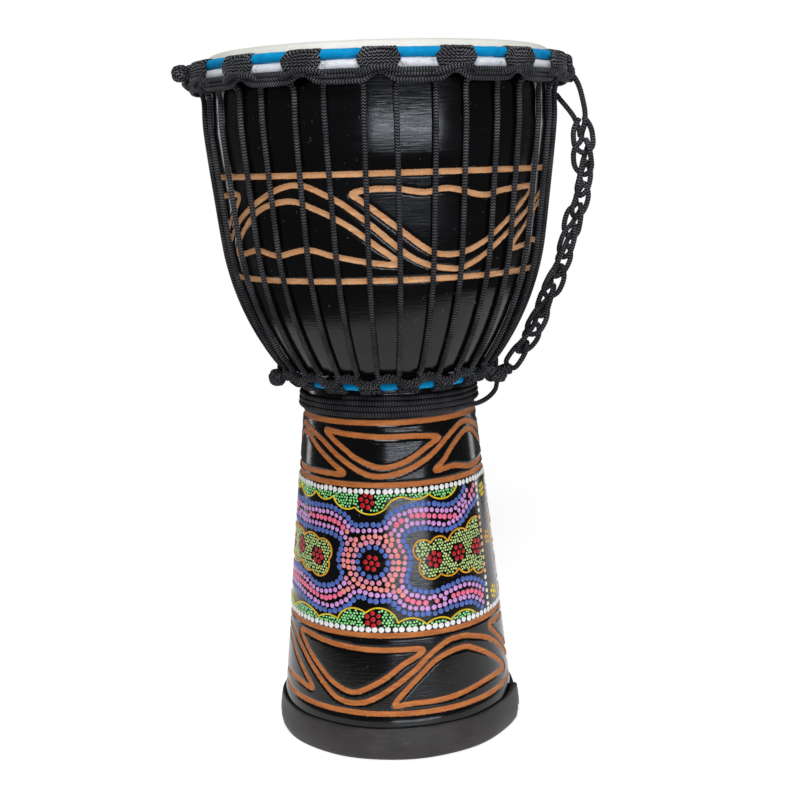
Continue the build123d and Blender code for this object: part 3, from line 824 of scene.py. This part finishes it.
def make_skin():
    """The head: a flat disc, its collar over the bearing edge, and the underside, as one closed sheet."""
    disc = [(r, HEAD_Z) for r in (2, 20, 45, 70, 95, 115, 128, 136)]
    over = bearing_edge(range(90, -1, -10), SKIN_GAP + SKIN_THICKNESS)
    wall = [(149.5, 585.5), (149.7, 582.0), (152.2, 578.5), (153.6, 576.8), (153.4, 576.0)]
    back = [(151.4, 577.4), (148.7, 582.0), (148.6, 589.0)]
    under = bearing_edge(range(0, 91, 10), SKIN_GAP)
    closing = [(r, HEAD_Z - SKIN_THICKNESS) for r in (136, 115, 70, 20, 2)]
    profile = np.array(disc + over + wall + back + under + closing)[::-1]
    azimuths = np.arange(0, 360, 1.5)
    ripple = (profile[:, 1:] < 588) * 0.25 * np.sin(np.radians(azimuths * LOOP_COUNT))
    sculpt = Sculpt()
    sculpt.grid(at(azimuths[None], profile[:, :1] + ripple, profile[:, 1:]))
    sculpt.piece("drum_skin", skin_finish(), replaces=["drumhead"])


def wrapped_ring(radius, z, thickness, folds, depth, seed=3):
    """A ring covered with soft material: points and how far each stands out, from 0 to 1.

    folds lists how many folds each wave has all the way round.
    """
    dice = np.random.default_rng(seed)
    turn = np.radians(np.arange(0, 360, 18))
    wave = np.zeros((len(RING_AZIMUTHS), len(turn)))
    for count in folds:
        start, slant = dice.uniform(0, 2 * math.pi), dice.choice([-2, -1, 1, 2])
        wave += np.sin(np.radians(RING_AZIMUTHS * count)[:, None] + slant * turn[None] + start)
    wave = (wave / len(folds) + 1) / 2
    section = thickness - depth + depth * wave
    return at(RING_AZIMUTHS[:, None], radius + section * np.cos(turn), z + section * np.sin(turn)), wave


def make_ring_covers(steel):
    """The rolled edge of the skin, the blue cloth on the crown and base rings, and the base ring's wire."""
    roll, wave = wrapped_ring(RING_RADIUS, FLESH_RING_Z, 4.35, (23, 41, 67, 103), 0.55)
    from_knot = np.abs((RING_AZIMUTHS - KNOT_AZIMUTHS[0] + LOOP_PITCH / 2) % LOOP_PITCH - LOOP_PITCH / 2)
    beside_knot = np.clip((8.3 - from_knot) / 3.0, 0, 1)[:, None] * np.ones_like(wave)
    sculpt = Sculpt()
    sculpt.grid(roll[:, ::-1], beside_knot, closed=True)
    sculpt.piece("skin_roll", roll_finish())
    cloth = cloth_finish()
    for name, node, radius, z, thickness in (
        ("crown_cloth", "crown_ring_cloth", RING_RADIUS, CROWN_RING_Z - 0.3, COVER_RADIUS - 0.25),
        ("base_cloth", "base_ring_cloth", BASE_RING_RADIUS, BASE_CORDS_Z, BASE_COVER_RADIUS + 0.1),
    ):
        ring, wave = wrapped_ring(radius, z, thickness, (37, 61, 89, 131), 0.4, seed=len(name))
        sculpt = Sculpt()
        sculpt.grid(ring[:, ::-1], wave[:, ::-1], closed=True)
        sculpt.piece(name, cloth, replaces=[node])
    wire = Sculpt()
    wire.tube(at(RING_AZIMUTHS, BASE_RING_RADIUS, BASE_CORDS_Z), BASE_WIRE / 2, 16, closed=True)
    wire.piece("base_wire", steel, replaces=["base_ring"])


# ---- the rubber foot ----
FOOT_HEIGHT = 28.0
FOOT_PROFILE = [
    (92.0, 1.9), (92.3, 0.4), (93.2, 0.0), (106.6, 0.0), (108.0, 0.5), (109.0, 2.4), (109.8, 7.0),
    (110.0, 12.0), (109.5, 17.0), (108.5, 22.0), (107.6, 26.4), (107.2, 27.6), (106.4, 28.1), (105.0, 27.9),
    (104.6, 27.2), (105.2, 20.0), (106.4, 9.0), (107.0, 2.5), (100.0, 2.4),
]
# The loose lap, in degrees: where it starts, where it ends at the floor, and how much further at the top
LAP_START, LAP_END, LAP_SLANT = 58.0, 77.0, 7.0
# How far the lap stands off, and how steeply its top edge is lifted
LAP_STAND_OFF, LAP_LIFT = 3.2, 2.8


def make_foot():
    """The rubber strip round the foot, with a loose torn end that stands off at the right."""
    azimuths = np.arange(0, 360, 1.0)[None]
    radius, height = np.array(FOOT_PROFILE).T[:, :, None]
    share = height / FOOT_HEIGHT
    torn = chance.normal(0, 1, azimuths.shape)
    end = LAP_END + LAP_SLANT * share + 0.5 * torn
    outside = np.clip(radius - 104.0, 0, 3) / 3
    loose = np.where(azimuths < end, np.clip((azimuths - LAP_START) / 22, 0, 1) ** 2 * LAP_STAND_OFF, 0.0)
    wave = 0.35 * np.sin(np.radians(azimuths * 3 + 40)) + 0.25 * np.sin(np.radians(azimuths * 8))
    near_end = np.clip((azimuths - 66) / 14, 0, 1) * (azimuths < LAP_END + LAP_SLANT)
    lifted = height + np.clip(share - 0.8, 0, 1) * 5 * (wave + near_end * (LAP_LIFT + 0.8 * torn))
    dents = 0.25 * np.sin(np.radians(azimuths * 11) + height / 5) * outside
    sculpt = Sculpt()
    sculpt.grid(at(azimuths, radius + (loose + dents) * outside, lifted)[::-1], closed=True)
    sculpt.piece("rubber_foot", rubber_finish(), replaces=["foot_band"])


# ---- cords on the rings ----
# The turns of a crown knot, the degrees from one to the next, and how far in the skin's collar lets them go
KNOT_TURNS, KNOT_TURN_GAP, KNOT_INSIDE = range(-4, 5), 1.16, 151.9
# The festoon's strands: height in the middle, height at the knots, radius
FESTOON_STRANDS = ((576.0, 576.6, 161.6), (572.0, 575.8, 160.4), (567.9, 575.0, 160.6))
BASE_ROW_RADIUS, BASE_ROW_Z = 93.9, 327.8
WINDING_Z, WINDING_PITCH, WINDING_STEPS, STEPS_PER_TURN = 296.2, 4.75, 40, 12


def make_crown_knots(cord):
    """Nine tight turns over both rings at each knot, drawn in below, and one strand across under them."""
    sculpt = Sculpt()
    reach = COVER_RADIUS + 1.1
    turn = np.radians(np.arange(0, 360, 15))
    middle = (CROWN_RING_Z + FLESH_RING_Z) / 2
    half = (CROWN_RING_Z - FLESH_RING_Z) / 2
    rise = np.sin(turn)
    for knot in KNOT_AZIMUTHS:
        slant = chance.uniform(0.3, 1.0)
        for place in KNOT_TURNS:
            loose = reach + chance.uniform(-0.4, 0.4)
            radius = np.maximum(RING_RADIUS + (loose + 0.8) * np.cos(turn), KNOT_INSIDE)
            z = middle + half * np.clip(rise * 3, -1, 1) + loose * rise * np.where(rise > 0, 0.42, 1.0)
            width = np.interp(z, [573, 577, 581, 585, 588, 593], [0.62, 0.78, 0.98, 1.12, 0.9, 0.88])
            azimuth = knot + place * KNOT_TURN_GAP * width + slant * rise
            sculpt.braid(at(azimuth, radius, z), 4.5, closed=True)
        across = knot + np.array([-6.6, -4.6, -1.5, 1.5, 4.4, 6.6])
        z = np.array([572.8, 574.6, 577.0, 577.8, 576.8, 573.6])
        radius = np.array([161.0, 164.4, 166.6, 166.8, 164.8, 161.2])
        sculpt.braid(at(across, radius, z), 4.2)
    sculpt.piece("crown_knots", cord, replaces=["crown_hitches"])


def make_festoons(cord):
    """Three strands that hang in a shallow swag under the rings, from each knot to the next."""
    sculpt = Sculpt()
    share = np.array([0.0, 0.06, 0.12, 0.2, 0.35, 0.5, 0.65, 0.8, 0.88, 0.94, 1.0])
    drop = np.array([0.0, 0.14, 0.5, 0.88, 0.98, 1.0, 0.98, 0.88, 0.5, 0.14, 0.0])
    for knot in KNOT_AZIMUTHS:
        tighter = min(2.2, 2.6 * (1 - math.cos(math.radians(knot + LOOP_PITCH / 2))))
        for low, ends, radius in FESTOON_STRANDS:
            z = ends + (low + tighter * (575.6 - low) / 7 + chance.uniform(-0.4, 0.4) - ends) * drop
            bulge = radius + 0.5 * np.sin(share * math.pi) + chance.uniform(-0.2, 0.3)
            sculpt.braid(at(knot + share * LOOP_PITCH, bulge, z), 4.0)
    sculpt.piece("crown_festoons", cord, replaces=["crown_loops"])


def rope_run(azimuth_low, azimuth_high):
    """One run of the tension rope, from the base loops up to the crown loops, along the bowl."""
    z = np.array([334.5, 341, 350, 362, 376, 392, 410, 430, 452, 480, 510, 540, 560])
    share = (z - z[0]) / (z[-1] - z[0])
    stray = chance.uniform(-0.22, 0.22) * np.sin(share * math.pi)
    azimuth = azimuth_low + (azimuth_high - azimuth_low) * share + stray
    return at(azimuth, bowl_radius(z, CORD / 2 + 0.15), z)


def make_tension_rope(cord):
    """The rope that zigzags round the bowl: up, over a crown loop, down, and under the base loops."""
    loops = []
    for middle in GAP_AZIMUTHS:
        top = 5.85 + chance.uniform(-0.25, 0.25)
        low = 5.3 + chance.uniform(-0.3, 0.3)
        up = rope_run(middle - low, middle - top)
        bend = np.array([-5.6, -4.0, 0.0, 4.0, 5.6])
        over = at(middle + bend, 154.0 - 0.06 * bend**2, 573.0 - 0.19 * bend**2)
        down = rope_run(middle + low, middle + top)[::-1]
        under_heights = np.array([330.6, 329.2, 328.8, 329.2, 330.6])
        under = at(middle + np.array([6.4, 8.6, 10.6, 12.6, 14.8]), 96.2, under_heights)
        loops += [up, over, down, under]
    sculpt = Sculpt()
    sculpt.braid(np.vstack(loops), closed=True, per_span=10)
    sculpt.piece("tension_rope_cord", cord, replaces=["tension_rope"])


def make_base_cords(cord):
    """The turns of cord on the base ring, and the plaited row above it that the tension rope hooks under."""
    knots = Sculpt()
    turn = np.radians(np.arange(0, 360, 20))
    for middle in GAP_AZIMUTHS:
        for place in (-2.0, -1.0, 0.0, 1.0, 2.0):
            reach = BASE_COVER_RADIUS + 1.5 + chance.uniform(-0.2, 0.3)
            azimuth = middle + place * 2.5 * (1 - 0.2 * np.cos(turn)) + 0.7 * np.sin(turn + place)
            radius = BASE_RING_RADIUS + reach * np.cos(turn)
            knots.braid(at(azimuth, radius, BASE_CORDS_Z + reach * np.sin(turn)), 4.3, closed=True)
    knots.piece("base_knots", cord, replaces=["base_hitches"])
    row = Sculpt()
    azimuths = np.arange(0, 360, 1.25)
    wave = np.radians((azimuths - KNOT_AZIMUTHS[0]) * LOOP_COUNT)
    for strand in range(3):
        phase = 2 * math.pi * strand / 3
        radius = BASE_ROW_RADIUS + 1.3 * np.sin(2 * wave + phase)
        z = BASE_ROW_Z + 3.0 * np.cos(wave) + 1.9 * np.cos(2 * wave + phase)
        row.braid(at(azimuths, radius, z), 4.2, closed=True, per_span=3)
    for middle in GAP_AZIMUTHS:
        for side in (-1, 1):
            place = middle + side * np.array([4.2, 5.4, 5.9, 4.6, 2.8, 1.4])
            radius = np.array([94.6, 96.6, 97.4, 97.0, 95.4, 92.0])
            row.braid(at(place, radius, np.array([335.4, 333.0, 329.4, 326.4, 324.2, 322.4])), 3.8)
    row.piece("base_loop_cords", cord, replaces=["base_loops"])


def make_neck_winding(cord):
    """The rope's spare end: down from the handle's lower knot, and three times round the neck."""
    steps = np.arange(WINDING_STEPS)
    z = WINDING_Z + steps * WINDING_PITCH / STEPS_PER_TURN + 0.18 * np.sin(steps * 1.7)
    turns = at(60.0 - steps * 360.0 / STEPS_PER_TURN, leg_radius(z) + CORD / 2 + 0.1, z)
    lead = [(97.5, -3.0, 311.0), (95.0, -8.5, 304.0), (88.5, -16.5, 299.0), (80.0, -27.5, 296.6)]
    sculpt = Sculpt()
    sculpt.braid(np.vstack([lead, turns]))
    sculpt.piece("neck_wraps", cord, replaces=["neck_winding"])


def knot_ball(sculpt, centre, radius, turns=5, tilt=62.0, start=0.0):
    """A tight knot: one cord wound over and over itself into a ball."""
    reach = radius - CORD / 2
    t = np.linspace(0, turns, turns * 16 + 1)
    a = 2 * math.pi * t
    spin = np.radians(start + 360.0 * t * 0.37)
    lean = math.radians(tilt)
    ring = np.stack([np.cos(a), np.sin(a) * math.cos(lean), np.sin(a) * math.sin(lean)], axis=-1)
    x = ring[:, 0] * np.cos(spin) - ring[:, 1] * np.sin(spin)
    y = ring[:, 0] * np.sin(spin) + ring[:, 1] * np.cos(spin)
    swell = reach * (1 + 0.1 * np.sin(3.3 * t))
    line = np.array(centre) + np.stack([x, y, ring[:, 2]], axis=-1) * swell[:, None]
    sculpt.braid(line, per_span=4)


def make_knots(cord):
    """The stopper knot at the crown, the knots on the base ring, and the two that hold the handle."""
    end = Sculpt()
    knot_ball(end, (-163.6, -50.0, 584.3), 7.6, turns=6)
    tail = [(-163.4, -46.0, 583.6), (-163.0, -38.0, 581.8), (-162.2, -28.5, 579.6), (-161.0, -22.0, 578.4)]
    end.braid(tail)
    end.piece("stopper_knot", cord, replaces=["rope_end_knot"])
    base = Sculpt()
    knot_ball(base, (-97.5, -20.0, 323.0), 8.0, turns=6)
    knot_ball(base, (-96.0, -29.0, 324.0), 6.6, turns=5, tilt=40, start=70)
    base.piece("base_ring_knot_cords", cord, replaces=["base_ring_knot"])
    top = Sculpt()
    knot_ball(top, (164.8, 0.0, 575.6), 5.6, turns=5)
    top.braid([(158.0, 2.0, 587.5), (163.6, 0.5, 586.5), (167.6, -0.4, 581.0), (167.0, -0.3, 575.0)])
    top.piece("handle_top_tie", cord, replaces=["handle_top_knot"])
    low = Sculpt()
    knot_ball(low, (98.5, 0.0, 317.0), 8.6, turns=7, tilt=50)
    knot_ball(low, (91.5, -9.0, 317.5), 6.2, turns=5, tilt=75, start=40)
    low.piece("handle_low_tie", cord, replaces=["handle_bottom_knot"])


# ---- the rope handle ----
CHAIN_ROUTE = [
    (175.5, 0.0, 541.0), (179.5, 0.8, 505.0), (171.0, -0.8, 458.0), (152.5, 0.6, 405.0),
    (130.5, -0.5, 353.0), (108.5, 0.0, 323.0),
]
CHAIN_STITCHES = 12
# One stitch of the chain, as (share of the pitch along, mm across, mm towards the front)
CHAIN_STITCH = [
    (0.08, -1.8, 0.4), (0.45, -5.2, 3.4), (0.90, -6.4, 3.2), (1.40, -5.6, 0.8), (1.68, 0.0, -1.4),
    (1.40, 5.6, 0.8), (0.90, 6.4, 3.2), (0.45, 5.2, 3.4), (0.08, 1.8, 0.4), (0.30, 1.4, -3.4),
    (0.75, -1.4, -4.2),
]
OUTER_STRAND = [
    (163.5, 0.5, 579.0), (168.6, -0.2, 575.5), (173.2, -0.8, 567.0), (176.4, -1.8, 554.5),
    (178.0, -3.0, 543.0), (176.6, -3.6, 533.0), (173.0, -2.0, 527.0),
]
INNER_STRAND = [
    (154.6, 9.0, 561.0), (157.5, 6.0, 556.5), (163.0, 3.6, 549.5), (169.0, 2.6, 541.0), (173.0, 2.0, 531.0),
    (174.0, 0.6, 524.0),
]


def route_line(points):
    """Points along the smooth line of a free cord's route, in millimetres."""
    curve = bpy.data.curves.new("route", "CURVE")
    curve.dimensions = "3D"
    spline = curve.splines.new("NURBS")
    spline.points.add(len(points) - 1)
    for control, point in zip(spline.points, points):
        control.co = (*(MM * x for x in point), 1.0)
    spline.order_u = 3
    spline.use_endpoint_u = True
    spline.resolution_u = 24
    holder = bpy.data.objects.new("route", curve)
    mesh = bpy.data.meshes.new_from_object(holder)
    line = np.array([v.co for v in mesh.vertices]) / MM
    bpy.data.objects.remove(holder)
    bpy.data.curves.remove(curve)
    bpy.data.meshes.remove(mesh)
    return line


def make_handle(cord):
    """The handle: a loose chain of the same rope on its hanging line, with its two strands at the top."""
    route = evenly(route_line(CHAIN_ROUTE), 1.0)
    tangent = np.gradient(route, axis=0)
    tangent /= np.linalg.norm(tangent, axis=1, keepdims=True)
    front = np.array([0.0, -1.0, 0.0]) - tangent * -tangent[:, 1:2]
    front /= np.linalg.norm(front, axis=1, keepdims=True)
    across = np.cross(front, tangent)
    pitch = 1.0 / (CHAIN_STITCHES + 0.55)
    points = []
    for stitch in range(CHAIN_STITCHES):
        size = 1.3 if stitch < 2 else 1.0 + 0.15 * math.sin(2.1 * stitch)
        twist = math.radians(38 * math.sin(1.7 * stitch + 0.4))
        for along, sideways, forward in CHAIN_STITCH:
            share = min((stitch + along) * pitch, 1.0) * (len(route) - 1)
            i = min(int(share), len(route) - 2)
            middle = route[i] + (route[i + 1] - route[i]) * (share - i)
            x = size * (sideways * math.cos(twist) - forward * math.sin(twist))
            y = size * (sideways * math.sin(twist) + forward * math.cos(twist))
            points.append(middle + across[i] * x + front[i] * y)
    chain = Sculpt()
    chain.braid(points, 5.0, per_span=8)
    knot_ball(chain, CHAIN_ROUTE[-1] - np.array([2.6, 0.0, 2.0]), 6.3, turns=5, tilt=35)
    chained = chain.piece("handle_chain_cord", cord, body="handle", replaces=["handle_chain"])
    outer = Sculpt()
    outer.braid(OUTER_STRAND, 4.8)
    outer_strand = outer.piece("handle_strand_outer", cord, body="handle", replaces=["handle_outer_strand"])
    inner = Sculpt()
    inner.braid(INNER_STRAND, 4.8)
    inner_strand = inner.piece("handle_strand_inner", cord, body=None, replaces=["handle_inner_strand"])
    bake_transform(inner_strand)


# ---- floor, light and camera, in metres and degrees ----
FLOOR_RADIUS, FLOOR_MIDDLE, FLOOR_Z = 0.75, (0.12, 0.31), -0.0002
WHITE = (1.0, 1.0, 1.0, 1.0)
FLOOR_GLOW, BACKDROP_STRENGTH, REFLECTED_STRENGTH = 0.62, 1.0, 0.1
CAMERA_PLACE = (0.00985, -1.2068, 0.5083)
CAMERA_LENS, CAMERA_DOWN, CAMERA_ROLL = 61.18, 9.987, -1.76


def make_floor():
    """A plain pale disc, about as bright as the backdrop, so that its edge doesn't show."""
    f = Finish("pale_floor")
    tone = f.mix(f.span(f.noise(3), 0.3, 0.7), "#F4F4F4", "#FAFAFA")
    glow = {"Emission_Color": WHITE, "Emission_Strength": FLOOR_GLOW}
    mesh = bpy.data.meshes.new("floor")
    turn = np.radians(np.arange(0, 360, 5))
    x, y = FLOOR_MIDDLE
    rim = [(x + FLOOR_RADIUS * math.cos(a), y + FLOOR_RADIUS * math.sin(a), FLOOR_Z) for a in turn]
    mesh.from_pydata(rim, [], [list(range(len(rim)))])
    mesh.materials.append(f.done(Base_Color=tone, Roughness=0.9, **glow))
    floor = bpy.data.objects.new("floor", mesh)
    bpy.context.scene.collection.objects.link(floor)


def make_world():
    """White behind the drum, and a dimmer grey for what its gloss reflects."""
    world = bpy.data.worlds.new("studio")
    bpy.context.scene.world = world
    world.use_nodes = True
    nodes, links = world.node_tree.nodes, world.node_tree.links
    backdrop, around = nodes["Background"], nodes.new("ShaderNodeBackground")
    for background, strength in ((backdrop, BACKDROP_STRENGTH), (around, REFLECTED_STRENGTH)):
        background.inputs["Color"].default_value = WHITE
        background.inputs["Strength"].default_value = strength
    path = nodes.new("ShaderNodeLightPath")
    either = nodes.new("ShaderNodeMixShader")
    links.new(path.outputs["Is Camera Ray"], either.inputs[0])
    links.new(around.outputs[0], either.inputs[1])
    links.new(backdrop.outputs[0], either.inputs[2])
    links.new(either.outputs[0], nodes["World Output"].inputs["Surface"])


def add_softbox(name, place, target, size, power, tint=(1.0, 1.0, 1.0)):
    """A rectangular area light aimed at a point."""
    light = bpy.data.lights.new(name, "AREA")
    light.shape = "RECTANGLE"
    light.size, light.size_y = size
    light.energy = power
    light.color = tint
    made = bpy.data.objects.new(name, light)
    made.location = place
    made.rotation_euler = (Vector(target) - Vector(place)).to_track_quat("-Z", "Y").to_euler()
    bpy.context.scene.collection.objects.link(made)


def make_lights():
    """Soft light from above and below the camera, from both sides and from overhead."""
    add_softbox("front", (-0.1, -2.0, 2.0), (0, 0, 0.3), (1.0, 0.8), 38)
    add_softbox("low", (2.34, -7.65, -0.25), (0, 0, 0.5), (6.6, 0.45), 200, (0.84, 0.9, 1.0))
    add_softbox("left", (-1.3, 0.9, 0.6), (0, 0, 0.35), (0.3, 1.4), 4)
    add_softbox("right", (1.3, 0.9, 0.6), (0, 0, 0.35), (0.3, 1.4), 3.6)
    add_softbox("above", (0.0, 0.3, 2.4), (0, 0, 0.5), (1.6, 1.6), 9)


def make_camera():
    """The camera in front of the drum, at the height of its bowl and looking down a little."""
    data = bpy.data.cameras.new("camera")
    data.lens = CAMERA_LENS
    data.clip_start, data.clip_end = 0.05, 50
    camera = bpy.data.objects.new("camera", data)
    pitch = Matrix.Rotation(math.radians(90 - CAMERA_DOWN), 4, "X")
    roll = Matrix.Rotation(math.radians(CAMERA_ROLL), 4, "Z")
    camera.matrix_world = Matrix.Translation(CAMERA_PLACE) @ pitch @ roll
    bpy.context.scene.collection.objects.link(camera)
    bpy.context.scene.camera = camera


def dress_cad_nodes(steel):
    """The finish of the CAD pieces that stay, which are the steel rings."""
    for node in ("flesh_ring", "crown_ring"):
        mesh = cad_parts[node].data
        mesh.materials.clear()
        mesh.materials.append(steel)


def main():
    """The whole scene. Each maker takes its random draws in turn, so their order counts."""
    make_camera()
    make_world()
    make_lights()
    make_floor()
    bpy.context.scene.view_settings.view_transform = "Standard"
    cord = cord_finish()
    steel = steel_finish()
    make_handle(cord)
    make_shell()
    make_painting()
    make_skin()
    make_ring_covers(steel)
    make_foot()
    make_crown_knots(cord)
    make_festoons(cord)
    make_tension_rope(cord)
    make_base_cords(cord)
    make_neck_winding(cord)
    make_knots(cord)
    dress_cad_nodes(steel)


main()
